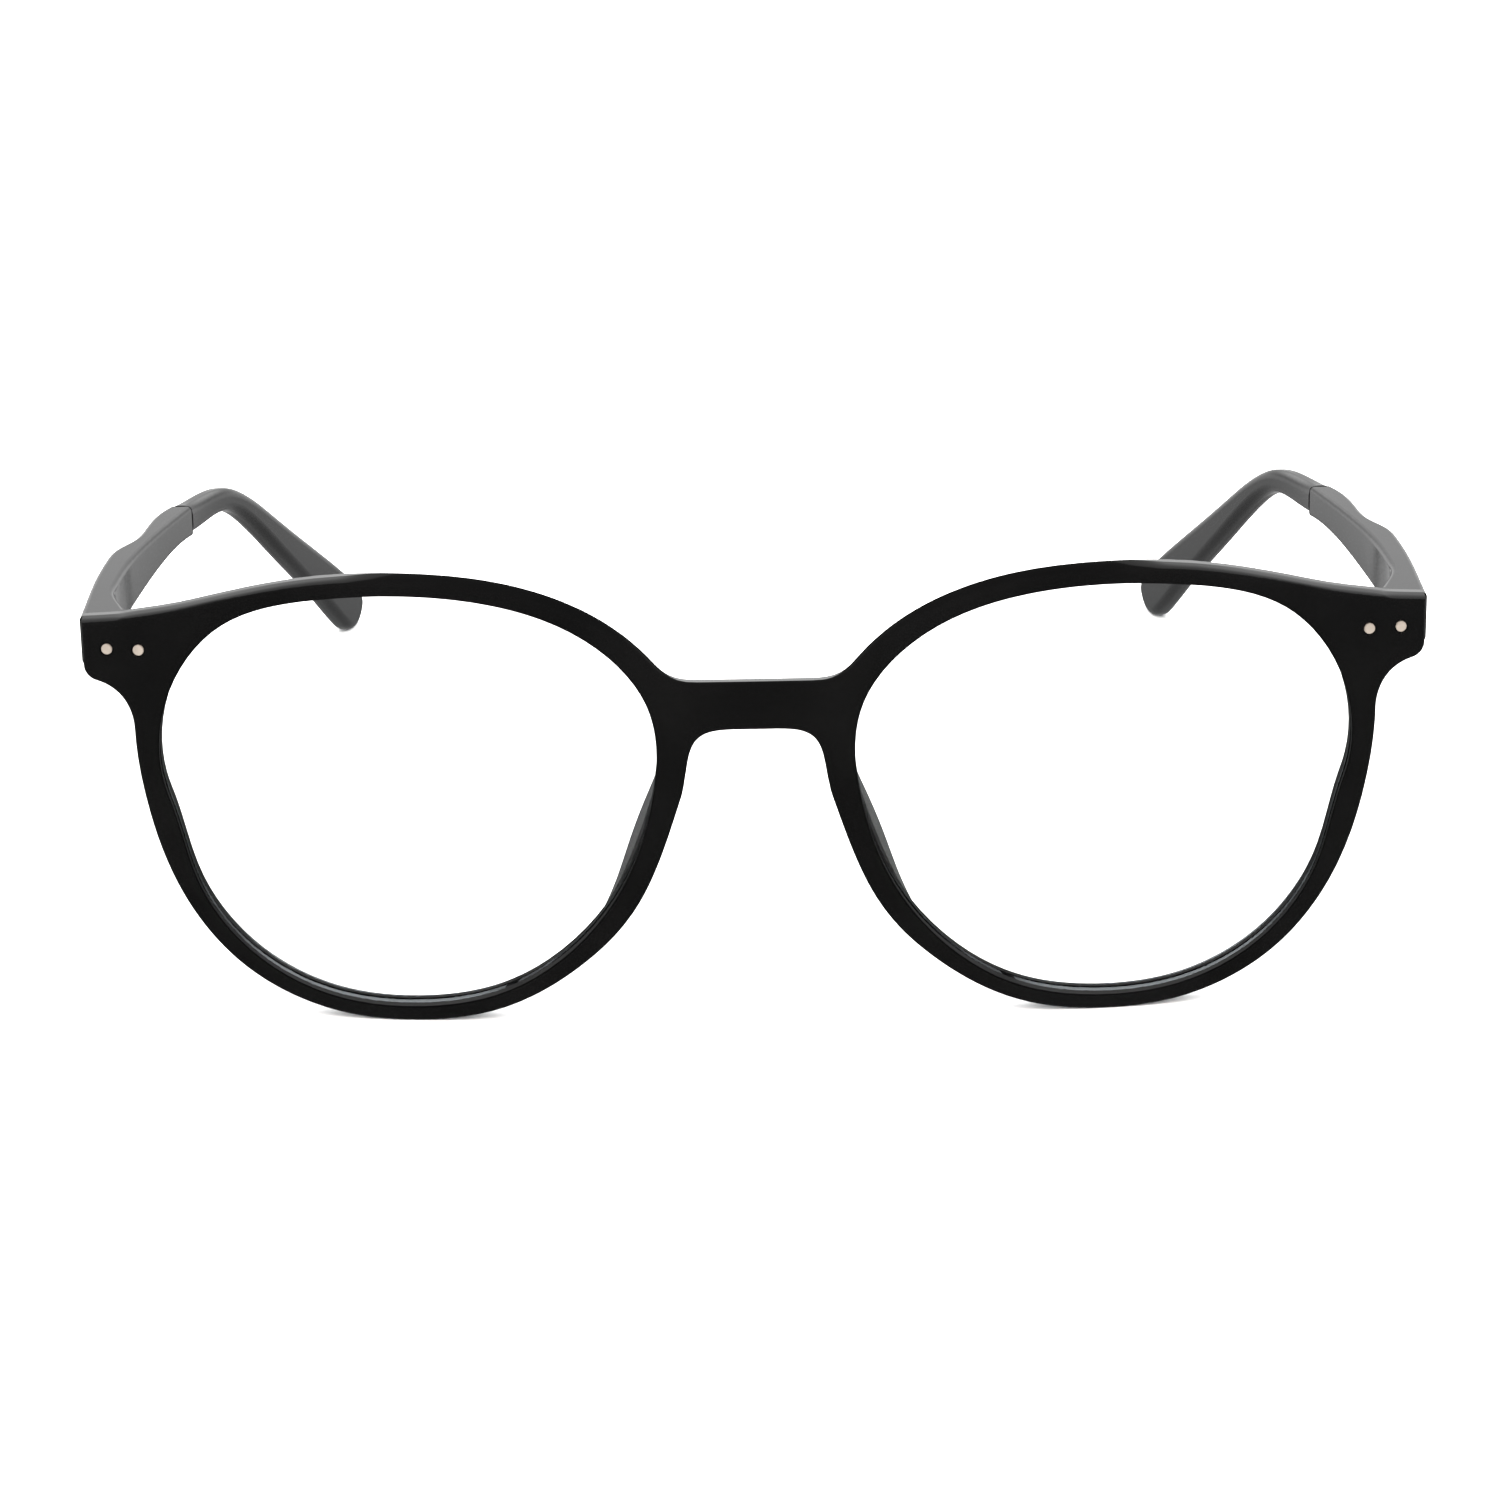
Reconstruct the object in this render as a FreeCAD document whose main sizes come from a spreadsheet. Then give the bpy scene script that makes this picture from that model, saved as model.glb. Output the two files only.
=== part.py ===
"""Full-rim plastic eyeglasses with folding temples, in millimetres.

+Z is up, +X is the wearer's left and -Y is where the wearer looks. The glasses stand open on
the plane z = 0, on the bottoms of the rims and the ends of the temples, and the origin is the
centre of the bounding box's bottom. Each piece is drawn with y = 0 at the front of the bridge
and is then placed half the overall depth forward. The pieces of the left side are drawn, and
those of the right side are their mirror images.
"""
import FreeCAD
import Part

import math
import os

V = FreeCAD.Vector
UP = V(0, 0, 1)

SIZES = {
    "half_depth": 70.5,            # half the overall depth, from the bridge to the temple ends
    # front
    "front_curve": 400,            # plan radius of the front's face
    "front_thickness": 3.4,
    "front_rounding": 0.6,
    "back_rounding": 0.4,
    "opening_rounding": 0.2,
    "bridge_top": 36.7,
    "bridge_underside": 32.1,
    "bridge_half_flat": 5.9,
    "endpiece_x": 69.1,            # outer side of the endpiece
    "endpiece_top": 43.1,
    "endpiece_bottom": 36.8,
    # rims: radii of the lens shape about its centre are in LENS_SHAPE
    "lens_centre_x": 35.6,
    "lens_centre_z": 24.3,
    "rim_at_top": 1.62,
    "rim_at_bottom": 1.65,
    "rim_at_nose": 2.9,
    "rim_at_temple": 2.55,
    # lens and its groove
    "base_curve": 130,             # radius of the lens surfaces
    "lens_thickness": 1.8,
    "lens_bulge": 3.25,            # from the bevel's plane to the lens vertex
    "groove_plane": 2.0,           # from the front's face to the groove, at the lens centre
    "groove_half_width": 0.5,
    "groove_depth": 0.55,
    "lens_play": 0.05,
    "lens_edge_inset": 0.2,
    # studs in the endpieces
    "stud_outer_x": 66.5,
    "stud_inner_x": 63.2,
    "stud_height": 40.3,
    "stud_head_radius": 0.56,
    "stud_head_proud": 0.14,
    "stud_shank_radius": 0.4,
    "stud_length": 1.9,
    "stud_recess_radius": 0.78,
    "stud_recess_depth": 0.14,
    # hinge
    "hinge_x": 66.05,
    "hinge_y": 10.09,
    "hinge_low": 38.1,             # underside of the lowest knuckle
    "hinge_turn": 9.6,             # the back of the endpiece faces this far inward, degrees
    "knuckle_radius": 0.9,
    "knuckle_height": 1.0,
    "knuckle_gap": 0.06,
    "knuckle_to_back": 1.13,       # hinge axis to the back of the endpiece
    "screw_radius": 0.55,
    "screw_bore": 0.59,
    "screw_head_radius": 0.74,
    "screw_head_height": 0.4,
    "leaf_width": 5.0,
    "leaf_thickness": 0.7,
    "leaf_outer_edge": 1.5,
    "web_half_width": 0.6,
    "temple_web_half_width": 0.4,
    "tang_half_thickness": 0.45,
    "tang_height": 2.2,
    # temples
    "butt_gap": 0.08,
    "temple_top_at_front": 43.8,
    "temple_slope": 0.118,
    "arm_rounding": 0.55,
    "tip_rounding": 1.05,
    "seam_y": 76,
    "seam_gap": 0.1,
    "wire_radius": 0.65,
    "wire_bore": 0.67,
}

# Radii of the lens shape about its centre, every 22.5 degrees from the temple side over the top.
LENS_SHAPE = [25.3, 27.15, 26.6, 23.55, 22.25, 23.1, 25.3, 26.65,
              24.8, 23.5, 22.91, 22.77, 22.67, 23.44, 24.26, 24.55]

doc = FreeCAD.newDocument("eyeglasses")
sheet = doc.addObject("Spreadsheet::Sheet", "sizes")
for row, (alias, number) in enumerate(SIZES.items(), start=1):
    sheet.set(f"A{row}", alias)
    sheet.set(f"B{row}", str(number))
    sheet.setAlias(f"B{row}", alias)
for step, radius in enumerate(LENS_SHAPE):
    sheet.set(f"D{step + 1}", str(radius))
    sheet.setAlias(f"D{step + 1}", f"lens_radius_{step:02d}")
doc.recompute()


def size(alias):
    return float(sheet.get(alias))


def bind(item, **expressions):
    """Binds properties of an object to formulas in the sheet's aliases."""
    for name, formula in expressions.items():
        item.setExpression(name.replace("__", "."), formula)


# ---------------------------------------------------------------- curves and sketches

def flat(x, y):
    return V(x, y, 0)


def bend(start, start_way, start_pull, end, end_way, end_pull):
    """A cubic curve between two points, leaving and arriving in the given directions."""
    out = V(start_way).normalize() * start_pull
    back = V(end_way).normalize() * end_pull
    curve = Part.BezierCurve()
    curve.setPoles([start, start + out, end - back, end])
    return curve.toBSpline()


def through(points, start_way=None, end_way=None):
    """A smooth curve through the points."""
    curve = Part.BSplineCurve()
    if start_way is None:
        curve.interpolate(points)
    else:
        curve.interpolate(Points=points, InitialTangent=start_way, FinalTangent=end_way)
    return curve


def closed_through(points):
    curve = Part.BSplineCurve()
    curve.interpolate(points, PeriodicFlag=True)
    return curve


def line(start, end):
    return Part.LineSegment(start, end)


def polygon(points):
    return [line(a, b) for a, b in zip(points, points[1:] + points[:1])]


def mirrored(curves):
    """The same curves on the other side of the sketch's vertical axis."""
    copies = []
    for curve in curves:
        copy = curve.copy()
        copy.mirror(V(0, 0, 0), V(0, 1, 0))
        copies.append(copy)
    return copies


def body(label):
    item = doc.addObject("PartDesign::Body", label)
    item.Label = label
    return item


def sketch(owner, name, plane, curves, offset=FreeCAD.Placement()):
    """A sketch on one of the body's own origin planes."""
    item = owner.newObject("Sketcher::SketchObject", name)
    support = next(f for f in owner.Origin.OriginFeatures if f.Role == plane)
    item.AttachmentSupport = [(support, "")]
    item.MapMode = "FlatFace"
    item.AttachmentOffset = offset
    item.addGeometry(curves, False)
    return item


def at_height(height):
    return FreeCAD.Placement(V(0, 0, height), FreeCAD.Rotation())


def pad(owner, profile, formula, reverse=False):
    item = owner.newObject("PartDesign::Pad", profile.Name + "_pad")
    item.Profile = profile
    item.Reversed = reverse
    bind(item, Length=formula)
    doc.recompute()
    return item


def pocket(owner, profile, formula=None, reverse=False):
    """Cuts to a depth, or through everything when no depth is given."""
    before = owner.Shape.Volume
    item = owner.newObject("PartDesign::Pocket", profile.Name + "_cut")
    item.Profile = profile
    item.Reversed = reverse
    if formula is None:
        item.Type = "ThroughAll"
    else:
        bind(item, Length=formula)
    doc.recompute()
    if not owner.Shape.Volume < before - 1e-4:
        raise RuntimeError(f"{item.Name} cuts nothing")
    return item


def loft(owner, kind, sections, ruled):
    item = owner.newObject(f"PartDesign::{kind}Loft", sections[0].Name + "_loft")
    item.Profile = sections[0]
    item.Sections = sections[1:]
    item.Ruled = ruled
    doc.recompute()
    return item


def primitive(owner, kind, name, placement, **expressions):
    """A PartDesign primitive, such as AdditiveBox or SubtractiveCylinder."""
    item = owner.newObject(f"PartDesign::{kind}", name)
    item.Placement = placement
    bind(item, **expressions)
    doc.recompute()
    return item


def mirror_feature(owner, original):
    item = owner.newObject("PartDesign::Mirrored", original.Name + "_mirrored")
    plane = next(f for f in owner.Origin.OriginFeatures if f.Role == "YZ_Plane")
    item.Originals = [original]
    item.MirrorPlane = (plane, [""])
    owner.Tip = item
    doc.recompute()
    return item


def round_edges(owner, chosen, formula):
    """Rounds the named edges or faces of the body's last feature."""
    base = owner.Tip
    item = owner.newObject("PartDesign::Fillet", base.Name + "_rounding")
    item.Base = (base, chosen)
    bind(item, Radius=formula)
    doc.recompute()
    return item


def face_edges(owner, radius, outer):
    """The outer edges, or those round the openings, of the face curved at this radius."""
    face = next(face for face in owner.Shape.Faces
                if face.Surface.TypeId == "Part::GeomCylinder"
                and abs(face.Surface.Radius - radius) < 0.01)
    chosen = [edge for wire in face.Wires if wire.isSame(face.OuterWire) == outer
              for edge in wire.Edges]
    return [f"Edge{number}" for number, edge in enumerate(owner.Shape.Edges, start=1)
            if any(edge.isSame(other) for other in chosen)]


def boolean(kind, name, base, tool):
    item = doc.addObject(f"Part::{kind}", name)
    item.Label = name
    item.Base = base
    item.Tool = tool
    doc.recompute()
    return item


def place(item, frame=FreeCAD.Placement()):
    """Puts a finished piece, drawn in the given frame, at its place about the common origin."""
    item.Placement = FreeCAD.Placement(V(0, -size("half_depth"), 0), FreeCAD.Rotation()) * frame
    return item


def mirror_piece(item):
    """The right-hand twin of a left-hand piece."""
    name = item.Label.replace("left", "right")
    twin = doc.addObject("Part::Mirroring", name)
    twin.Label = name
    twin.Source = item
    twin.Normal = V(1, 0, 0)
    return twin


# ---------------------------------------------------------------- shapes shared by the pieces

def polar(angle, radius):
    turn = math.radians(angle)
    centre = flat(size("lens_centre_x"), size("lens_centre_z"))
    return centre + flat(radius * math.cos(turn), radius * math.sin(turn))


def lens_radius(step):
    return size(f"lens_radius_{step % 16:02d}")


def lens_outline(grow=0.0, centred=False):
    """The closed lens shape, grown outward; seen from the front, or about its own centre."""
    points = [polar(22.5 * step, lens_radius(step) + grow) for step in range(16)]
    if centred:
        points = [p - flat(size("lens_centre_x"), size("lens_centre_z")) for p in points]
    return closed_through(points)


def rim_point(step):
    """A point of the rim's outer edge: the rim widens from its top and bottom to its sides."""
    angle = 22.5 * step
    upper = 0 < angle < 180
    from_vertical = math.radians(angle - (90 if upper else 270))
    thin = size("rim_at_top" if upper else "rim_at_bottom")
    wide = size("rim_at_nose" if math.cos(math.radians(angle)) < 0 else "rim_at_temple")
    return polar(angle, lens_radius(step) + thin + (wide - thin) * (1 - math.cos(from_vertical)))


def front_outline():
    """The left half of the front seen from the front, from the bridge's top to its underside."""
    side = size("endpiece_x")
    low = size("endpiece_bottom")
    bridge_end = flat(size("bridge_half_flat"), size("bridge_top"))
    brow_start = flat(10.4, 38.65)
    brow_way = flat(0.65, 0.76)
    brow_end = flat(side, size("endpiece_top"))
    under_start = flat(side - 1.3, low - 0.1)
    under_way = flat(-1, -0.27)
    cheek = flat(64.15, 31.4)
    nose = flat(7.05, 28.4)
    nose_way = flat(-0.156, 0.988)
    middle = flat(0, size("bridge_underside"))
    brow = [brow_start, rim_point(6), rim_point(5), rim_point(4), rim_point(3) + flat(0, 0.1),
            flat(55.5, 45.6), flat(60.2, 44.45), flat(64.5, 43.65), brow_end]
    lower_rim = [cheek] + [rim_point(step) for step in range(16, 7, -1)] + [nose]
    return [
        line(flat(0, size("bridge_top")), bridge_end),
        bend(bridge_end, flat(1, 0), 2.47, brow_start, brow_way, 1.71),
        through(brow, brow_way * 8, flat(8, -0.7)),
        line(brow_end, flat(side, low + 1.5)),
        bend(flat(side, low + 1.5), flat(0, -1), 0.8, under_start, under_way, 0.7),
        bend(under_start, under_way, 2.5, cheek, flat(0, -1), 2.6),
        through(lower_rim, flat(0, -8), nose_way * 8),
        bend(nose, nose_way, 4.0, middle, flat(-1, 0), 4.5),
    ]


def plan_arc(radius, reach=74):
    """An arc about the front's centre of curvature, seen from above, and its two ends."""
    centre_y = size("front_curve")
    half = math.asin(reach / radius)
    down = -math.pi / 2
    circle = Part.Circle(flat(0, centre_y), UP, radius)
    arc = Part.ArcOfCircle(circle, down - half, down + half)
    return arc, arc.StartPoint, arc.EndPoint


def ahead_of(radius, front_y=-20):
    """The region ahead of a plan arc, as a closed outline."""
    arc, left, right = plan_arc(radius)
    return [arc, line(right, flat(right.x, front_y)),
            line(flat(right.x, front_y), flat(left.x, front_y)), line(flat(left.x, front_y), left)]


def behind_of(radius, back_y=40):
    arc, left, right = plan_arc(radius)
    return [arc, line(right, flat(right.x, back_y)),
            line(flat(right.x, back_y), flat(left.x, back_y)), line(flat(left.x, back_y), left)]


def back_radius():
    return size("front_curve") - size("front_thickness")


def lens_frame():
    """Placement of the lens: its plane faces out by the front's curve at the lens centre."""
    centre_x = size("lens_centre_x")
    wrap = math.degrees(math.asin(centre_x / size("front_curve")))
    face_y = size("front_curve") - math.sqrt(size("front_curve") ** 2 - centre_x ** 2)
    centre = V(centre_x, face_y + size("groove_plane"), size("lens_centre_z"))
    return FreeCAD.Placement(centre, FreeCAD.Rotation(UP, wrap))


def in_lens_plane(depth):
    """Sketch offset, on the XZ plane, for a section at a depth behind the bevel's plane."""
    flip = FreeCAD.Placement(V(), FreeCAD.Rotation(V(1, 0, 0), 90))
    return flip.inverse() * lens_frame() * FreeCAD.Placement(V(0, depth, 0), FreeCAD.Rotation()) * flip


def bevel_sections(owner, name, profile):
    """Sections of a bevelled disc: (depth, growth of the lens shape) for each."""
    return [sketch(owner, f"{name}_{number}", "XZ_Plane", [lens_outline(grow, centred=True)],
                   in_lens_plane(depth)) for number, (depth, grow) in enumerate(profile)]


# ---------------------------------------------------------------- front

def front_blank(frame):
    """The curved slab with both openings, its front and back edges rounded."""
    half = front_outline()
    outline = sketch(frame, "front_outline", "XZ_Plane", half + mirrored(half))
    pad(frame, outline, "sizes.front_thickness + 8", reverse=True)
    pocket(frame, sketch(frame, "face", "XY_Plane", ahead_of(size("front_curve")), at_height(-5)),
           reverse=True)
    pocket(frame, sketch(frame, "back", "XY_Plane", behind_of(back_radius()), at_height(-5)),
           reverse=True)
    opening = lens_outline()
    pocket(frame, sketch(frame, "openings", "XZ_Plane", [opening] + mirrored([opening]),
                         at_height(20)))
    front, back = size("front_curve"), back_radius()
    round_edges(frame, face_edges(frame, front, outer=True), "sizes.front_rounding")
    round_edges(frame, face_edges(frame, back, outer=True), "sizes.back_rounding")
    round_edges(frame, face_edges(frame, front, outer=False), "sizes.opening_rounding")
    round_edges(frame, face_edges(frame, back, outer=False), "sizes.opening_rounding")


def cut_lens_grooves(frame):
    half_width = size("groove_half_width")
    profile = [(-half_width, -0.02), (0, size("groove_depth")), (half_width, -0.02)]
    groove = loft(frame, "Subtractive", bevel_sections(frame, "groove", profile), ruled=True)
    mirror_feature(frame, groove)


def stud_frame(x):
    """At the front's face, with local +Z out of the face."""
    radius = size("front_curve")
    centre = V(0, radius, size("stud_height"))
    out = V(x, -math.sqrt(radius ** 2 - x ** 2), 0)
    return FreeCAD.Placement(centre + out, FreeCAD.Rotation(UP, V(out).normalize()))


def sunk(frame, depth):
    """The same frame, moved a depth down its own axis."""
    return frame * FreeCAD.Placement(V(0, 0, -depth), FreeCAD.Rotation())


def drill_stud_holes(frame):
    for name in ("stud_outer", "stud_inner"):
        here = stud_frame(size(name + "_x"))
        recess = primitive(frame, "SubtractiveCylinder", name + "_recess",
                           sunk(here, size("stud_recess_depth")),
                           Radius="sizes.stud_recess_radius", Height="sizes.stud_recess_depth + 1")
        mirror_feature(frame, recess)
        hole = primitive(frame, "SubtractiveCylinder", name + "_hole",
                         sunk(here, size("stud_length") + 0.05),
                         Radius="sizes.stud_shank_radius + 0.01", Height="sizes.stud_length + 1")
        mirror_feature(frame, hole)


def hinge_frame(turned=True):
    """On the hinge axis at the lowest knuckle; turned, its +Y is square to the endpiece's back."""
    turn = size("hinge_turn") if turned else 0
    return FreeCAD.Placement(V(size("hinge_x"), size("hinge_y"), size("hinge_low")),
                             FreeCAD.Rotation(UP, turn))


LEAF_BOX = {"Length": "sizes.leaf_width", "Width": "sizes.leaf_thickness",
            "Height": "3 * sizes.knuckle_height + 2 * sizes.knuckle_gap"}


def leaf_corner():
    return V(size("leaf_outer_edge") - size("leaf_width"),
             -size("knuckle_to_back") - size("leaf_thickness"), 0)


def cut_leaf_pockets(frame):
    """A pocket the size of the hinge leaf in the back of each endpiece."""
    corner = FreeCAD.Placement(leaf_corner(), FreeCAD.Rotation())
    deeper = dict(LEAF_BOX, Width="sizes.leaf_thickness + 1")
    box = primitive(frame, "SubtractiveBox", "leaf_pocket", hinge_frame() * corner, **deeper)
    mirror_feature(frame, box)


def make_front():
    frame = body("front_frame")
    front_blank(frame)
    cut_lens_grooves(frame)
    drill_stud_holes(frame)
    cut_leaf_pockets(frame)
    return place(frame)


def make_lens():
    """A meniscus of even thickness whose bevelled edge sits in the rim's groove."""
    disc = body("lens_disc")
    inset = -size("lens_edge_inset")
    half_width = size("groove_half_width") - 0.02
    ridge = size("groove_depth") - size("lens_play")
    profile = [(-4, inset), (-half_width, inset), (0, ridge), (half_width, inset), (3, inset)]
    loft(disc, "Additive", bevel_sections(disc, "disc", profile), ruled=True)
    radius = size("base_curve")
    centre = lens_frame().multVec(V(0, radius - size("lens_bulge"), 0))
    surfaces = []
    for name, formula in (("lens_front", "sizes.base_curve"),
                          ("lens_back", "sizes.base_curve - sizes.lens_thickness")):
        ball = doc.addObject("Part::Sphere", name)
        ball.Placement.Base = centre
        bind(ball, Radius=formula)
        surfaces.append(ball)
    doc.recompute()
    shell = boolean("Cut", "lens_shell", *surfaces)
    return place(boolean("Common", "lens_left", disc, shell))


def capsule(start, end, radius):
    """A closed outline at an even distance from the segment between two points."""
    along = V(end - start).normalize()
    side = V(-along.y, along.x, 0) * radius
    tip = along * radius
    return [line(start - side, end - side),
            Part.Arc(end - side, end + tip, end + side),
            line(end + side, start + side),
            Part.Arc(start + side, start - tip, start - side)]


def make_nose_pad():
    """A fin cemented to the back of the rim beside the nose, leaning out towards its rear."""
    pad_body = body("nose_pad_left")
    back = size("front_thickness")
    stations = [  # height, middle of the rim, lean, reach behind the rim
        (9.2, 16.7, 0.2, -1.3), (13, 13.9, 0.5, 1.0), (18, 11.6, 0.8, 2.9),
        (23, 9.9, 0.6, 2.8), (27, 9.0, 0.1, 1.0), (30, 8.7, 0.1, -1.3)]
    sections = []
    for height, middle, lean, reach in stations:
        outline = capsule(flat(middle, back - 1.8), flat(middle + lean, back + reach), 1.0)
        sections.append(sketch(pad_body, f"pad_{len(sections)}", "XY_Plane", outline,
                               at_height(height)))
    loft(pad_body, "Additive", sections, ruled=False)
    pocket(pad_body, sketch(pad_body, "pad_seat", "XY_Plane", ahead_of(back_radius() - 0.01)),
           reverse=True)
    return place(pad_body)


def make_stud(name, x):
    """A turned stud: a flat head with a small bevel on a plain shank."""
    stud = body(name)
    head, shank = size("stud_head_radius"), size("stud_shank_radius")
    seat, top, end = -size("stud_recess_depth"), size("stud_head_proud"), -size("stud_length")
    bevel = 0.08
    outline = polygon([flat(0, end), flat(shank, end), flat(shank, seat), flat(head, seat),
                       flat(head, top - bevel), flat(head - bevel, top), flat(0, top)])
    profile = sketch(stud, name + "_profile", "XZ_Plane", outline)
    turned = stud.newObject("PartDesign::Revolution", name + "_turned")
    turned.Profile = profile
    turned.ReferenceAxis = (profile, ["V_Axis"])
    turned.Angle = 360
    doc.recompute()
    return place(stud, stud_frame(x))


# ---------------------------------------------------------------- hinge

def lifted(x, y, formula_height):
    return FreeCAD.Placement(V(x, y, formula_height), FreeCAD.Rotation())


def knuckle_step():
    return size("knuckle_height") + size("knuckle_gap")


def make_front_leaf():
    """Plate let into the endpiece, with the lowest and the highest knuckle on webs."""
    leaf = body("hinge_front_left")
    primitive(leaf, "AdditiveBox", "front_plate",
              FreeCAD.Placement(leaf_corner(), FreeCAD.Rotation()), **LEAF_BOX)
    for number in (0, 2):
        low = number * knuckle_step()
        primitive(leaf, "AdditiveBox", f"front_web_{number}",
                  lifted(-size("web_half_width"), -size("knuckle_to_back"), low),
                  Length="2 * sizes.web_half_width", Width="sizes.knuckle_to_back",
                  Height="sizes.knuckle_height")
        primitive(leaf, "AdditiveCylinder", f"front_knuckle_{number}", lifted(0, 0, low),
                  Radius="sizes.knuckle_radius", Height="sizes.knuckle_height")
    primitive(leaf, "SubtractiveCylinder", "front_bore", lifted(0, 0, -1),
              Radius="sizes.screw_bore", Height="10")
    seat = 2 * knuckle_step() + size("knuckle_height") - size("screw_head_height")
    primitive(leaf, "SubtractiveCylinder", "head_seat", lifted(0, 0, seat),
              Radius="sizes.screw_head_radius + 0.03", Height="1")
    return place(leaf, hinge_frame())


def strip(points, half_width):
    """A closed outline at an even distance on both sides of a bent line."""
    left, right = [], []
    for number, point in enumerate(points):
        before = points[max(number - 1, 0)]
        after = points[min(number + 1, len(points) - 1)]
        along = V(after - before).normalize()
        side = V(-along.y, along.x, 0) * half_width
        left.append(point + side)
        right.append(point - side)
    return polygon(left + right[::-1])


def web_line():
    """Plan line from the hinge axis to just inside the front end of the tang."""
    return [flat(0, 0), flat(1.36, 3.05)]


def tang_line(extra=0.0):
    """Plan line of the tang inside the temple, from the end of the web rearward."""
    return [flat(1.3, 2.9), flat(2.2, 7.5), flat(2.95 + 0.16 * extra, 13 + extra)]


def make_temple_leaf():
    """Middle knuckle with a tang that is sunk in the temple's front block."""
    leaf = body("hinge_temple_left")
    low = knuckle_step()
    half = size("tang_half_thickness")
    middle = low + size("knuckle_height") / 2
    primitive(leaf, "AdditiveCylinder", "temple_knuckle", lifted(0, 0, low),
              Radius="sizes.knuckle_radius", Height="sizes.knuckle_height")
    web = strip(web_line(), size("temple_web_half_width"))
    pad(leaf, sketch(leaf, "temple_web", "XY_Plane", web, at_height(low)), "sizes.knuckle_height")
    tang = strip(tang_line(), half)
    pad(leaf, sketch(leaf, "tang", "XY_Plane", tang,
                     at_height(middle - size("tang_height") / 2)), "sizes.tang_height")
    primitive(leaf, "SubtractiveCylinder", "temple_bore", lifted(0, 0, -1),
              Radius="sizes.screw_bore", Height="10")
    return place(leaf, hinge_frame(turned=False))


def make_hinge_screw():
    screw = body("hinge_screw_left")
    top = 2 * knuckle_step() + size("knuckle_height")
    primitive(screw, "AdditiveCylinder", "screw_shank", lifted(0, 0, 0),
              Radius="sizes.screw_radius", Height="3 * sizes.knuckle_height")
    primitive(screw, "AdditiveCylinder", "screw_head", lifted(0, 0, top - size("screw_head_height")),
              Radius="sizes.screw_head_radius", Height="sizes.screw_head_height")
    primitive(screw, "SubtractiveBox", "screw_slot", lifted(-1, -0.12, top - 0.2),
              Length="2", Width="0.24", Height="1")
    return place(screw, hinge_frame(turned=False))


# ---------------------------------------------------------------- temples

def top_line(y):
    """Height of the temple's straight top edge."""
    return size("temple_top_at_front") - size("temple_slope") * y


def keep_inside(owner, name, outline):
    """Cuts away everything outside a closed outline seen from the side."""
    frame = polygon([flat(-5, -20), flat(160, -20), flat(160, 60), flat(-5, 60)])
    pocket(owner, sketch(owner, name, "YZ_Plane", frame + outline, at_height(40)), reverse=True)


def long_edges(owner, least=2.5):
    return [f"Edge{number}" for number, edge in enumerate(owner.Shape.Edges, start=1)
            if edge.BoundBox.YLength > least]


def arm_plan():
    """Outline of the block and the arm from above: bowed outside, scooped inside near the hinge."""
    seam = size("seam_y")
    outer = [flat(69.5, 6), flat(70.35, 20), flat(71.0, 32), flat(71.25, 42), flat(70.95, 48.5),
             flat(69.9, 53.5), flat(69.4, 62), flat(68.3, seam)]
    inner = [flat(65.6, seam), flat(67.0, 62), flat(67.9, 50), flat(68.3, 40), flat(68.2, 30),
             flat(67.6, 22), flat(66.3, 16.5), flat(65.2, 12.6)]
    butt = flat(65.05, 6)
    return [through(outer), line(outer[-1], inner[0]), through(inner), line(inner[-1], butt),
            line(butt, outer[0])]


def arm_side():
    """Outline of the block and the arm from the side: the arm is slimmer than the block."""
    seam = size("seam_y")
    top = [flat(0, top_line(0)), flat(seam, top_line(seam))]
    under = [flat(seam, top_line(seam) - 3.7), flat(60, top_line(60) - 4.1),
             flat(50, top_line(50) - 4.9), flat(40, top_line(40) - 5.5),
             flat(20, top_line(20) - 5.5), flat(0, top_line(0) - 5.5)]
    return [line(*top), line(top[1], under[0]), through(under), line(under[-1], top[0])]


def cut_hinge_relief(arm):
    """Room for the knuckles and webs, a rounded inner corner and a hole for the screwdriver."""
    x, y = size("hinge_x"), size("hinge_y")
    low = size("hinge_low") - 0.1
    tall = "3 * sizes.knuckle_height + 2 * sizes.knuckle_gap + 0.2"
    swing = 0.95
    corner = [line(flat(x - 2, y), flat(x - swing, y)),
              Part.Arc(flat(x - swing, y), flat(x - swing * 0.7071, y - swing * 0.7071),
                       flat(x, y - swing)),
              line(flat(x, y - swing), flat(x, y - 5)),
              line(flat(x, y - 5), flat(x - 2, y - 5)),
              line(flat(x - 2, y - 5), flat(x - 2, y))]
    pocket(arm, sketch(arm, "swing_corner", "XY_Plane", corner, at_height(-5)), reverse=True)
    primitive(arm, "SubtractiveCylinder", "knuckle_room", lifted(x, y, low),
              Radius="sizes.knuckle_radius + 0.1", Height=tall)
    primitive(arm, "SubtractiveBox", "web_room", lifted(x - 3, y - 5, low),
              Length="3 + sizes.web_half_width + 0.28", Width="5.8", Height=tall)
    primitive(arm, "SubtractiveCylinder", "driver_hole", lifted(x, y, low + 1),
              Radius="sizes.screw_head_radius + 0.06", Height="10")


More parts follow.
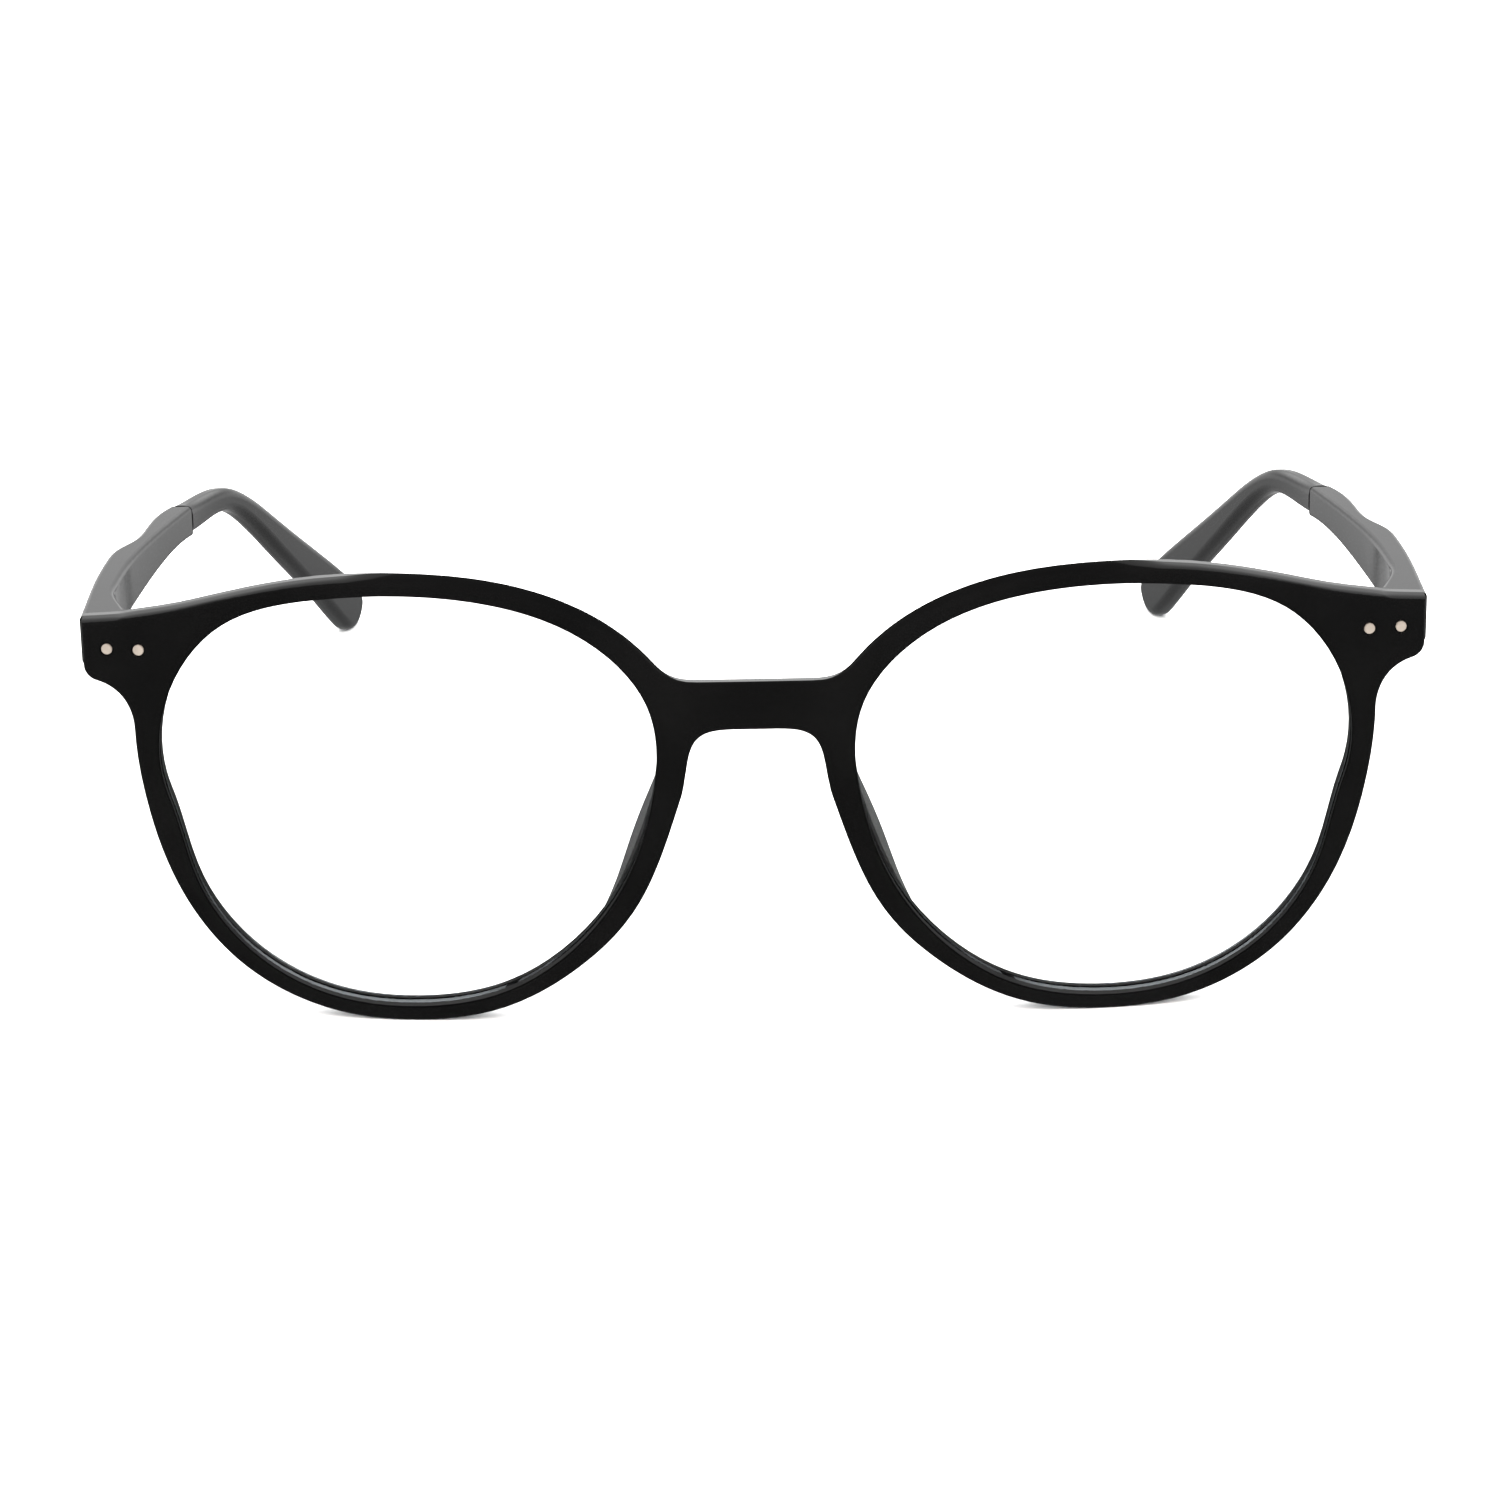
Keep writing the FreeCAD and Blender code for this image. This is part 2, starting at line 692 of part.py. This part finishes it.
def cut_tang_slot(arm):
    """A slot for the tang, and a narrower one for the web in front of it."""
    here = V(size("hinge_x"), size("hinge_y"), 0)
    play = 0.03
    low = size("hinge_low") + knuckle_step()
    middle = low + size("knuckle_height") / 2
    web = strip([p + here for p in web_line()], size("temple_web_half_width") + play)
    tang = strip([p + here for p in tang_line(extra=0.1)], size("tang_half_thickness") + play)
    tang_low = middle - size("tang_height") / 2
    pocket(arm, sketch(arm, "web_slot", "XY_Plane", web, at_height(low - play)),
           "sizes.knuckle_height + 0.06", reverse=True)
    pocket(arm, sketch(arm, "tang_slot", "XY_Plane", tang, at_height(tang_low - play)),
           "sizes.tang_height + 0.06", reverse=True)


def wire_path(extra=0.0):
    """Centre line of the core wire, through the arm and round the ear bend into the tip."""
    start = V(69.45, 27, top_line(27) - 2.8)
    points = [start, V(69.35, 44, top_line(44) - 2.6), V(68.65, 55, top_line(55) - 2.2),
              V(67.9, 66, top_line(66) - 2.0), V(66.95, 76, top_line(76) - 1.85),
              V(64.95, 88, top_line(88) - 1.8), V(62.6, 98, 28.2), V(60.4, 108, 21.9),
              V(58.3, 118, 15.6)]
    first = V(points[0] - points[1]).normalize() * extra
    last = V(points[-1] - points[-2]).normalize() * extra
    points[0] = points[0] + first
    points[-1] = points[-1] + last
    return through(points).toShape()


def wire_shape(name, radius, extra=0.0):
    """A round wire along the path."""
    path = wire_path(extra)
    start = path.valueAt(path.FirstParameter)
    way = path.tangentAt(path.FirstParameter)
    profile = Part.Wire([Part.makeCircle(radius, start, way)])
    item = doc.addObject("Part::Feature", name)
    item.Label = name
    item.Shape = Part.Wire([path]).makePipeShell([profile], True, True)
    return item


def make_temple_arm():
    blank = body("arm_blank")
    pad(blank, sketch(blank, "arm_plan", "XY_Plane", arm_plan(), at_height(20)), "40")
    keep_inside(blank, "arm_side", arm_side())
    pocket(blank, sketch(blank, "arm_butt", "XY_Plane", ahead_of(back_radius() - size("butt_gap")),
                         at_height(-5)), reverse=True)
    round_edges(blank, long_edges(blank), "sizes.arm_rounding")
    cut_hinge_relief(blank)
    cut_tang_slot(blank)
    bore = wire_shape("arm_bore", size("wire_bore"), extra=0.3)
    return place(boolean("Cut", "temple_arm_left", blank, bore))


def tip_plan():
    """Outline of the tip from above: it runs inward behind the ear."""
    seam = size("seam_y") + size("seam_gap")
    outer = [flat(68.35, seam), flat(66.45, 87), flat(63.9, 98), flat(59.6, 116), flat(55.0, 136),
             flat(53.2, 144)]
    inner = [flat(50.6, 144), flat(52.4, 136), flat(56.9, 116), flat(61.1, 98), flat(63.65, 87),
             flat(65.6, seam)]
    return [through(outer), line(outer[-1], inner[0]), through(inner), line(inner[-1], outer[0])]


def tip_side():
    """Outline of the tip from the side: the ear bend, then a paddle that widens to a round end."""
    seam = size("seam_y") + size("seam_gap")
    upper = [flat(seam, top_line(seam) + 0.05), flat(86, top_line(86) - 0.1), flat(92, 32.4),
             flat(98, 29.9), flat(108.5, 23.8), flat(124, 14.6), flat(135, 8.0)]
    end = [upper[-1], flat(139.3, 4.9), flat(140.9, 2.6), flat(139.4, 0.5), flat(136, 0),
           flat(133, 1.6)]
    lower = [end[-1], flat(126, 6.8), flat(110, 18.2), flat(99, 25.9), flat(91.5, 29.6),
             flat(84, 30.6), flat(seam, 31.4)]
    return [through(upper + end[1:-1] + lower), line(lower[-1], upper[0])]


def make_temple_tip():
    blank = body("tip_blank")
    pad(blank, sketch(blank, "tip_plan", "XY_Plane", tip_plan(), at_height(-5)), "60")
    keep_inside(blank, "tip_side", tip_side())
    round_edges(blank, long_edges(blank, 20), "sizes.tip_rounding")
    bore = wire_shape("tip_bore", size("wire_bore"), extra=0.3)
    return place(boolean("Cut", "temple_tip_left", blank, bore))


# ---------------------------------------------------------------- assembly and export

def make_all():
    left = [
        make_lens(),
        make_nose_pad(),
        make_stud("stud_left_outer", size("stud_outer_x")),
        make_stud("stud_left_inner", size("stud_inner_x")),
        make_front_leaf(),
        make_temple_leaf(),
        make_hinge_screw(),
        make_temple_arm(),
        place(wire_shape("core_wire_left", size("wire_radius"))),
        make_temple_tip(),
    ]
    return [make_front()] + left + [mirror_piece(piece) for piece in left]


def check(pieces):
    """Stops before anything is written if a feature or a piece is not sound."""
    doc.recompute()
    failed = [item.Name for item in doc.Objects if {"Invalid", "Error"} & set(item.State)]
    if failed:
        raise RuntimeError(f"failed features: {failed}")
    for piece in pieces:
        if piece.Shape.isNull() or not piece.Shape.isValid() or not piece.Shape.Solids:
            raise RuntimeError(f"{piece.Label} has no sound solid")


pieces = make_all()
check(pieces)
os.makedirs("parts", exist_ok=True)
for piece in pieces:
    piece.Shape.exportStep(f"parts/{piece.Label}.step")
    print(piece.Label, len(piece.Shape.Solids), round(piece.Shape.Volume, 2))
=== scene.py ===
"""Looks of the eyeglasses: materials, a small studio and the camera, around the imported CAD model.

Metres. +Z is up, +X is the wearer's left, -Y is the way the wearer looks. The front is
symmetric, so a place along it is told by its distance from the middle.
"""

import math

import bmesh
import bpy
from mathutils import Matrix, Vector


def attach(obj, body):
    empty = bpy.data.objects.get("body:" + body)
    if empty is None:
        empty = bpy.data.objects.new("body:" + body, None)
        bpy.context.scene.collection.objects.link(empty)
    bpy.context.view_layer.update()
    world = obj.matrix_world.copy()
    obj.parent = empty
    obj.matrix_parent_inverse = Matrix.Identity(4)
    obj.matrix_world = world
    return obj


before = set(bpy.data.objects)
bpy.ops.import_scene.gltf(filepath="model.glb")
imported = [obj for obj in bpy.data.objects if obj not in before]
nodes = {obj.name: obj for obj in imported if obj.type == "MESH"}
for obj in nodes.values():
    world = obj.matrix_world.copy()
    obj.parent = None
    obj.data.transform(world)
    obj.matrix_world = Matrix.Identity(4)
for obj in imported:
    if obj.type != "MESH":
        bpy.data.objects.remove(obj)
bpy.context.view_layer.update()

# The front: its lens openings, and the upright cylinder its face lies on.
LENS_CENTRE_X = 0.0356
LENS_CENTRE_Z = 0.0243
FACE_RADIUS = 0.400
FACE_AXIS = (0, 0.3295, 0)
WALL_FACING = (-0.35, -0.6)      # how a normal points away from the lens centre: side, opening wall

# The rolled edge of the front's outer sides. A slope is that of the normal, from side to forward.
CREASE_DEPTH = 0.0022            # from the face back to the crease
ROUND_SIDE_DEPTH = 1.5 * CREASE_DEPTH
INNER_HALF = (0.043, 0.036)      # where a rim's outer half turns into its inner half
BRIDGE_END = (0.007, 0.011)      # where the creased bridge turns into the round side of a rim
CREASE_SLOPE = 0.2
ROUND_SIDE_SLOPE = 0.7
ROLL_STRENGTH = 0.25

# The seam between an arm and its tip.
SEAM_Y = 0.0055
SEAM_GAP = 0.0001
SEAM_CENTRE = (0.06695, 0.0331)  # x and z of the middle of the left arm's end
SEAM_SHADE = (0.00025, 0.0005)   # painted shade: the shine is taken away at the seam and comes back over these distances
# the dark sheet in each seam is painted shade of the gap, not a real part
FILLER_SIZE = (0.0024, 0.0032)
FILLER_CORNER = 0.0008

# Finishes: grain in features per metre, heights in metres, tones as dark and light.
SHARP_ANGLE = math.radians(24)
PLASTIC_IOR = 1.49
GLOSS_HAZE = 90
GLOSS_TONES = (0.0009, 0.0017)
GLOSS_ROUGHNESS = (0.06, 0.11)
GLOSS_SHINE = 0.5
PEEL_GRAIN = 420
PEEL_HEIGHT = 0.000010
CUTTER_STEP = 0.00028
CUTTER_HEIGHT = 0.0000035
WALL_ROUGHNESS = 0.14            # an opening wall is this much rougher
WALL_SHINE = 0.02
SATIN_CLOUD = 70
SATIN_TONES = ((0.0018, 0.0018, 0.0019, 1), (0.0028, 0.0028, 0.0030, 1))
SATIN_SHINE = 0.35
SATIN_GRAIN = 2600
SATIN_HEIGHT = 0.000006
LENS_IOR = 1.5
LENS_TINT = (0.985, 0.99, 0.99, 1)
COATING_TINT = (0.90, 0.96, 1.0, 1)
COATING_SHARE = 0.12             # of a bare lens's mirror image
DUST_SHARE = 0.003
METAL_WEAR = 900
WORN_TONE = 0.82
TURNED_GRAIN = 9000
TURNED_HEIGHT = 0.000006

# The studio. Mirror-like surfaces see a room of their own, everything else sees plain white.
PAPER_TONES = (0.90, 0.93)
WHITE = 3.0
ROOM_FRONT = 0.13
TABLE_BACK = 0.85
TABLE_FADE = (-0.05, 0.22)       # y over which the table's image turns from front to back
LAMPS = (0.7, 2.0)               # low and high in the bank of lamps at the back
LAMPS_RISE = (0.10, 0.32)        # heights here and below are those of a unit vector
CEILING = 0.2
CEILING_RISE = (0.42, 0.92)
BEHIND = (-0.2, 0.6)
WARM = (1.0, 0.86, 0.76)

CAMERA_PLACE = (-0.0006, -0.5205, 0.1886)
CAMERA_DOWN = math.radians(19.41)
CAMERA_ROLL = math.radians(-1.01)
CAMERA_LENS = 111.9              # mm, on a sensor this wide:
CAMERA_SENSOR = 36


# ---------------------------------------------------------------- node helpers

class Graph:
    """A short way to write a node tree."""

    def __init__(self, tree):
        self.tree = tree
        tree.nodes.clear()

    def node(self, kind, settings=None, **inputs):
        """Adds a node; i0, i1 name inputs by number, and underscores stand for spaces."""
        item = self.tree.nodes.new("ShaderNode" + kind)
        for key, value in (settings or {}).items():
            setattr(item, key, value)
        for key, value in inputs.items():
            numbered = key[0] == "i" and key[1:].isdigit()
            socket = item.inputs[int(key[1:]) if numbered else key.replace("_", " ")]
            if isinstance(value, bpy.types.NodeSocket):
                self.tree.links.new(value, socket)
            else:
                socket.default_value = value
        return item

    def math(self, operation, first, second=0.0, third=0.0):
        item = self.node("Math", {"operation": operation}, i0=first, i1=second, i2=third)
        return item.outputs[0]

    def vector(self, operation, first, second=(0, 0, 0)):
        item = self.node("VectorMath", {"operation": operation}, i0=first, i1=second)
        return item.outputs[0]

    def scaled(self, vector, factor):
        item = self.node("VectorMath", {"operation": "SCALE"}, i0=vector, Scale=factor)
        return item.outputs[0]

    def dot(self, first, second):
        item = self.node("VectorMath", {"operation": "DOT_PRODUCT"}, i0=first, i1=second)
        return item.outputs["Value"]

    def split(self, vector):
        """A vector's parts, as ["X"], ["Y"] and ["Z"]."""
        return self.node("SeparateXYZ", Vector=vector).outputs

    def range(self, value, low, high):
        """0 at low, 1 at high, smooth between."""
        item = self.node("MapRange", {"interpolation_type": "SMOOTHSTEP"}, Value=value,
                         From_Min=low, From_Max=high)
        return item.outputs[0]

    def blend(self, share, first, second):
        """Colour first where share is 0, second where it is 1."""
        item = self.node("Mix", {"data_type": "RGBA"}, i0=share, i6=first, i7=second)
        return item.outputs[2]

    def blend_vector(self, share, first, second):
        """Vector first where share is 0, second where it is 1."""
        item = self.node("Mix", {"data_type": "VECTOR"}, i0=share, i4=first, i5=second)
        return item.outputs[1]

    def mix(self, share, low, high):
        """Plain number low where share is 0, high where it is 1."""
        return self.math("MULTIPLY_ADD", share, high - low, low)

    def noise(self, scale, detail=3.0, stretch=(1, 1, 1)):
        """Noise fixed to the object, with scale in features per metre."""
        place = self.node("TexCoord").outputs["Object"]
        mapped = self.node("Mapping", Vector=place, Scale=stretch).outputs[0]
        return self.node("TexNoise", Vector=mapped, Scale=scale, Detail=detail).outputs[0]

    def patches(self, scale, low=0.35, high=0.7):
        """Soft-edged patches, 0 to 1."""
        return self.range(self.noise(scale, 4), low, high)

    def bump(self, height, distance, normal=None):
        inputs = {"Normal": normal} if normal else {}
        return self.node("Bump", Height=height, Distance=distance, **inputs).outputs[0]

    def surface(self, shader):
        self.node("OutputMaterial", Surface=shader)


def new_material(name):
    material = bpy.data.materials.new(name)
    material.use_nodes = True
    return material, Graph(material.node_tree)


def grey(value):
    return (value, value, value, 1)


# ---------------------------------------------------------------- materials

def opening_wall(g, geometry):
    """1 on the walls of the lens openings, where the surface faces its lens centre."""
    place = g.split(geometry["Position"])
    normal = g.split(geometry["True Normal"])
    across = g.math("SUBTRACT", g.math("ABSOLUTE", place["X"]), LENS_CENTRE_X)
    mirrored = g.math("MULTIPLY", normal["X"], g.math("SIGN", place["X"]))
    up = g.math("SUBTRACT", place["Z"], LENS_CENTRE_Z)
    radius = g.math("SQRT", g.math("ADD", g.math("MULTIPLY", across, across),
                                   g.math("MULTIPLY", up, up)))
    outward = g.math("ADD", g.math("MULTIPLY", across, mirrored),
                     g.math("MULTIPLY", up, normal["Z"]))
    return g.range(g.math("DIVIDE", outward, radius), *WALL_FACING)


def crease_depth(g, inner_half, from_middle):
    """How deep the roll starts: deeper on the inner half of a rim, but not on the bridge."""
    round_side = g.math("MULTIPLY", inner_half, g.range(from_middle, *BRIDGE_END))
    return g.mix(round_side, CREASE_DEPTH, ROUND_SIDE_DEPTH)


def roll_slope(g, near, inner_half):
    """Slope of the normal in the roll, like a circle's: gentle at the crease, steep at the face."""
    circle = g.math("SQRT", g.math("SUBTRACT", 1.0, g.math("MULTIPLY", near, near)))
    least = g.mix(inner_half, CREASE_SLOPE, ROUND_SIDE_SLOPE)
    return g.math("MULTIPLY_ADD", g.math("DIVIDE", near, circle), ROLL_STRENGTH, least)


def rolled_edge(g, geometry, wall):
    """Normal of the front's outer sides: from a crease forward they bend round to the face."""
    place = geometry["Position"]
    normal = geometry["Normal"]
    from_middle = g.math("ABSOLUTE", g.split(place)["X"])
    inner_half = g.range(from_middle, *INNER_HALF)
    crease = crease_depth(g, inner_half, from_middle)
    from_axis = g.vector("MULTIPLY", g.vector("SUBTRACT", place, FACE_AXIS), (1, 1, 0))
    forward = g.vector("NORMALIZE", from_axis)
    depth = g.math("SUBTRACT", FACE_RADIUS, g.dot(from_axis, forward))
    near = g.math("SUBTRACT", 1.0, g.math("DIVIDE", depth, crease))  # 0 at the crease, 1 at the face
    near = g.math("MINIMUM", near, 0.999)

    facing = g.dot(normal, forward)
    side = g.vector("NORMALIZE", g.vector("SUBTRACT", normal, g.scaled(forward, facing)))
    upright = g.math("SQRT", g.math("SUBTRACT", 1.0001, g.math("MULTIPLY", facing, facing)))
    own_slope = g.math("DIVIDE", facing, upright)
    slope = g.math("MAXIMUM", roll_slope(g, near, inner_half), own_slope)
    rolled = g.vector("NORMALIZE", g.vector("ADD", side, g.scaled(forward, slope)))
    in_roll = g.math("GREATER_THAN", near, 0.0)
    outside = g.math("SUBTRACT", 1.0, wall)
    return g.blend_vector(g.math("MULTIPLY", in_roll, outside), normal, rolled)


def gloss_acetate(name, tone=1.0, machined=False):
    """Polished black acetate with slight orange peel. A higher tone is a lighter black.

    The machined piece is the front: its outer sides roll into its face, and its lens openings
    keep fine cutter lines.
    """
    material, g = new_material(name)
    haze = g.patches(GLOSS_HAZE)
    darkest, lightest = GLOSS_TONES
    colour = g.blend(haze, grey(darkest * tone), grey(lightest * tone))
    roughness = g.mix(haze, *GLOSS_ROUGHNESS)
    peel = g.noise(PEEL_GRAIN, 2)
    if machined:
        geometry = g.node("NewGeometry").outputs
        wall = opening_wall(g, geometry)
        depth = g.split(geometry["Position"])["Y"]
        lines = g.math("SINE", g.math("MULTIPLY", depth, 2 * math.pi / CUTTER_STEP))
        normal = g.bump(peel, PEEL_HEIGHT, rolled_edge(g, geometry, wall))
        normal = g.bump(g.math("MULTIPLY", lines, wall), CUTTER_HEIGHT, normal)
        roughness = g.math("ADD", roughness, g.math("MULTIPLY", wall, WALL_ROUGHNESS))
        shine = g.mix(wall, GLOSS_SHINE, WALL_SHINE)
    else:
        normal = g.bump(peel, PEEL_HEIGHT)
        shine = GLOSS_SHINE
    skin = g.node("BsdfPrincipled", Base_Color=colour, Roughness=roughness, IOR=PLASTIC_IOR,
                  Specular_IOR_Level=shine, Normal=normal)
    g.surface(skin.outputs[0])
    return material


def satin_acetate(name, roughness):
    """Tumbled black plastic with a fine matte skin; near the seam its shine is taken away as painted
    shade.
    """
    material, g = new_material(name)
    cloud = g.patches(SATIN_CLOUD)
    place = g.split(g.node("TexCoord").outputs["Object"])
    from_seam = g.math("ABSOLUTE", g.math("SUBTRACT", place["Y"], SEAM_Y))
    beyond_seam_shade = g.range(from_seam, *SEAM_SHADE)
    skin = g.node("BsdfPrincipled", Base_Color=g.blend(cloud, *SATIN_TONES), IOR=PLASTIC_IOR,
                  # no shine at the seam, rising again over SEAM_SHADE: painted shade of the gap
                  Specular_IOR_Level=g.mix(beyond_seam_shade, 0.0, SATIN_SHINE),
                  Roughness=g.mix(cloud, roughness, roughness + 0.04),
                  Normal=g.bump(g.noise(SATIN_GRAIN), SATIN_HEIGHT))
    g.surface(skin.outputs[0])
    return material


def lens_clear():
    """Clear coated lens: thin, so light passes straight, with a faint mirror image."""
    material, g = new_material("clear_lens")
    fresnel = g.node("Fresnel", IOR=LENS_IOR).outputs[0]
    coated = g.math("MULTIPLY", fresnel, COATING_SHARE)
    dust = g.math("MULTIPLY", g.patches(160, 0.55, 0.8), DUST_SHARE)
    clear = g.node("BsdfTransparent", Color=LENS_TINT).outputs[0]
    mirror = g.node("BsdfGlossy", Color=COATING_TINT, Roughness=0.02).outputs[0]
    mixed = g.node("MixShader", i0=g.math("ADD", coated, dust), i1=clear, i2=mirror)
    g.surface(mixed.outputs[0])
    return material


def fine_metal(name, colour, roughness, metallic):
    """Fine turned metal with light wear."""
    material, g = new_material(name)
    wear = g.patches(METAL_WEAR)
    worn = tuple(channel * WORN_TONE for channel in colour)
    lines = g.noise(TURNED_GRAIN, 2, stretch=(0.2, 1, 1))
    skin = g.node("BsdfPrincipled", Base_Color=g.blend(wear, worn + (1,), colour + (1,)),
                  Metallic=metallic, Roughness=g.mix(wear, roughness + 0.08, roughness),
                  Normal=g.bump(lines, TURNED_HEIGHT))
    g.surface(skin.outputs[0])
    return material


def paint_nodes():
    """Gives every CAD node the finish its name asks for."""
    hinge = fine_metal("hinge_metal", (0.62, 0.61, 0.60), 0.32, 1.0)
    finishes = {
        "front_frame": gloss_acetate("acetate_front", machined=True),
        "temple_arm": satin_acetate("acetate_temple", 0.10),
        "nose_pad": gloss_acetate("acetate_pad", tone=20),
        "temple_tip": satin_acetate("acetate_tip", 0.13),
        "lens": lens_clear(),
        "stud": fine_metal("stud_metal", (0.33, 0.285, 0.24), 0.42, 0.3),
        "hinge": hinge,
        "core_wire": hinge,
    }
    for name, item in nodes.items():
        finish = next(material for start, material in finishes.items() if name.startswith(start))
        item.data.materials.clear()
        item.data.materials.append(finish)
        item.data.set_sharp_from_angle(angle=SHARP_ANGLE)


# ---------------------------------------------------------------- seam fillers: dark sheets of painted shade

def rounded_outline(width, height, radius, steps=6):
    """Points round a rectangle with rounded corners, about its centre."""
    points = []
    for quarter, (side, end) in enumerate(((1, 1), (-1, 1), (-1, -1), (1, -1))):
        for step in range(steps + 1):
            turn = math.radians(90 * (quarter + step / steps))
            points.append((side * (width / 2 - radius) + radius * math.cos(turn),
                           end * (height / 2 - radius) + radius * math.sin(turn)))
    return points


def add_seam_shade_sheet(side, sign):
    """A dark sheet that fills the gap between an arm and its tip, as painted shade of the seam."""
    shape = bmesh.new()
    centre_x, centre_z = SEAM_CENTRE
    outline = rounded_outline(*FILLER_SIZE, FILLER_CORNER)
    rings = []
    for share in (0.1, 0.9):
        y = SEAM_Y + share * SEAM_GAP
        rings.append([shape.verts.new((sign * centre_x + x, y, centre_z + z)) for x, z in outline])
    front, back = rings
    shape.faces.new(front)
    shape.faces.new(back[::-1])
    for number in range(len(front)):
        shape.faces.new((front[number - 1], back[number - 1], back[number], front[number]))
    bmesh.ops.recalc_face_normals(shape, faces=shape.faces)
    mesh = bpy.data.meshes.new(f"painted_seam_shade_{side}")
    shape.to_mesh(mesh)
    shape.free()
    mesh.materials.append(bpy.data.materials["acetate_temple"])
    filler = bpy.data.objects.new(mesh.name, mesh)
    bpy.context.scene.collection.objects.link(filler)
    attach(filler, f"temple_{side}")


# ---------------------------------------------------------------- studio

def add_floor():
    """A pale table. Mirror-like surfaces see its front part dim, as if the room there were dark."""
    reach = 6.0
    mesh = bpy.data.meshes.new("floor")
    corners = [(-reach, -reach, 0), (reach, -reach, 0), (reach, reach, 0), (-reach, reach, 0)]
    mesh.from_pydata(corners, [], [(0, 1, 2, 3)])
    floor = bpy.data.objects.new("floor", mesh)
    bpy.context.scene.collection.objects.link(floor)
    material, g = new_material("floor")
    dark, light = PAPER_TONES
    paper = g.node("BsdfDiffuse", Color=g.blend(g.patches(3), grey(dark), grey(light))).outputs[0]
    place = g.split(g.node("NewGeometry").outputs["Position"])
    far = g.range(place["Y"], *TABLE_FADE)
    image = g.node("Emission", Color=g.blend(far, grey(ROOM_FRONT), grey(TABLE_BACK))).outputs[0]
    mirrored = g.node("LightPath").outputs["Is Glossy Ray"]
    g.surface(g.node("MixShader", i0=mirrored, i1=paper, i2=image).outputs[0])
    mesh.materials.append(material)


def add_world():
    """White for the eye; mirror-like surfaces see a dim room and, low behind, a bank of lamps."""
    world = bpy.data.worlds.new("studio")
    bpy.context.scene.world = world
    world.use_nodes = True
    g = Graph(world.node_tree)
    way = g.split(g.node("TexCoord").outputs["Generated"])
    lamps = g.mix(g.range(way["Z"], *LAMPS_RISE), *LAMPS)
    dimming = g.mix(g.range(way["Z"], *CEILING_RISE), 1.0, CEILING)
    behind = g.range(way["Y"], *BEHIND)
    room = g.blend(behind, grey(ROOM_FRONT), g.math("MULTIPLY", lamps, dimming))
    mirrored = g.node("LightPath").outputs["Is Glossy Ray"]
    shade = g.node("Background", Color=g.blend(mirrored, grey(WHITE), room), Strength=1.0)
    g.node("OutputWorld", Surface=shade.outputs[0])


def add_softbox(name, place, width, height, power, colour=(1, 1, 1), mirrored=True):
    """A soft lamp that shines at the glasses. Mirror-like surfaces see it only if mirrored."""
    light = bpy.data.lights.new(name, "AREA")
    light.shape = "RECTANGLE"
    light.size = width
    light.size_y = height
    light.energy = power
    light.color = colour
    item = bpy.data.objects.new(name, light)
    item.location = place
    item.visible_glossy = mirrored
    item.rotation_euler = (-Vector(place)).to_track_quat("-Z", "Y").to_euler()
    bpy.context.scene.collection.objects.link(item)


def add_camera():
    """Seen from in front and a little above, from about half a metre away."""
    data = bpy.data.cameras.new("camera")
    data.sensor_width = CAMERA_SENSOR
    data.lens = CAMERA_LENS
    data.clip_start = 0.01
    item = bpy.data.objects.new("camera", data)
    turn = (Matrix.Rotation(math.pi / 2 - CAMERA_DOWN, 4, "X")
            @ Matrix.Rotation(CAMERA_ROLL, 4, "Z"))
    item.matrix_world = Matrix.Translation(CAMERA_PLACE) @ turn
    bpy.context.scene.collection.objects.link(item)
    bpy.context.scene.camera = item


paint_nodes()
# dark sheets in the arm-tip seams: painted shade
add_seam_shade_sheet("left", 1)
add_seam_shade_sheet("right", -1)
add_floor()
add_world()
add_softbox("key", (0, -0.9, 1.1), 1.4, 0.5, 8, WARM, mirrored=False)
add_softbox("overhead", (0, 0.5, 1.3), 1.6, 1.2, 3)
add_camera()
bpy.context.scene.view_settings.view_transform = "Standard"
